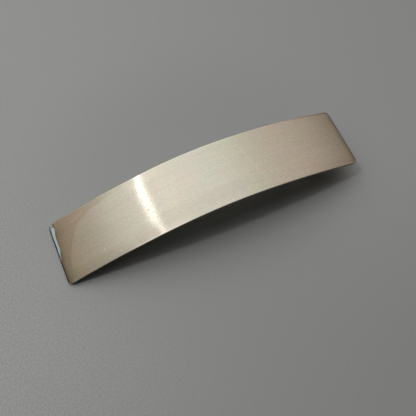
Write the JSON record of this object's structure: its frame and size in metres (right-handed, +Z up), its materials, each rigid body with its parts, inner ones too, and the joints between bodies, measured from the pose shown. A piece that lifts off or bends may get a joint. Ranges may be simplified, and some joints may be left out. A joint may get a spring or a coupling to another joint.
{
  "type": "hair barrette",
  "caption": "Arched rectangular brushed-metal hair barrette with rounded corners and a closed spring clasp underneath that grips a lock of hair.",
  "frame": {"origin": "on the surface that the barrette lies on, under the middle of its length", "axes": "+X along the plate from the hinge end to the catch end, +Y across it, +Z up from that surface"},
  "size_m": [0.0958, 0.02, 0.0156],
  "materials": {
    "brushed_plate": "fine brush lines along the length, warm steel, edges polished",
    "clasp_steel": "plain bright spring steel"
  },
  "bodies": {
    "root": {"front_plate": "brushed_plate", "clasp": "clasp_steel"}
  },
  "joints": []
}
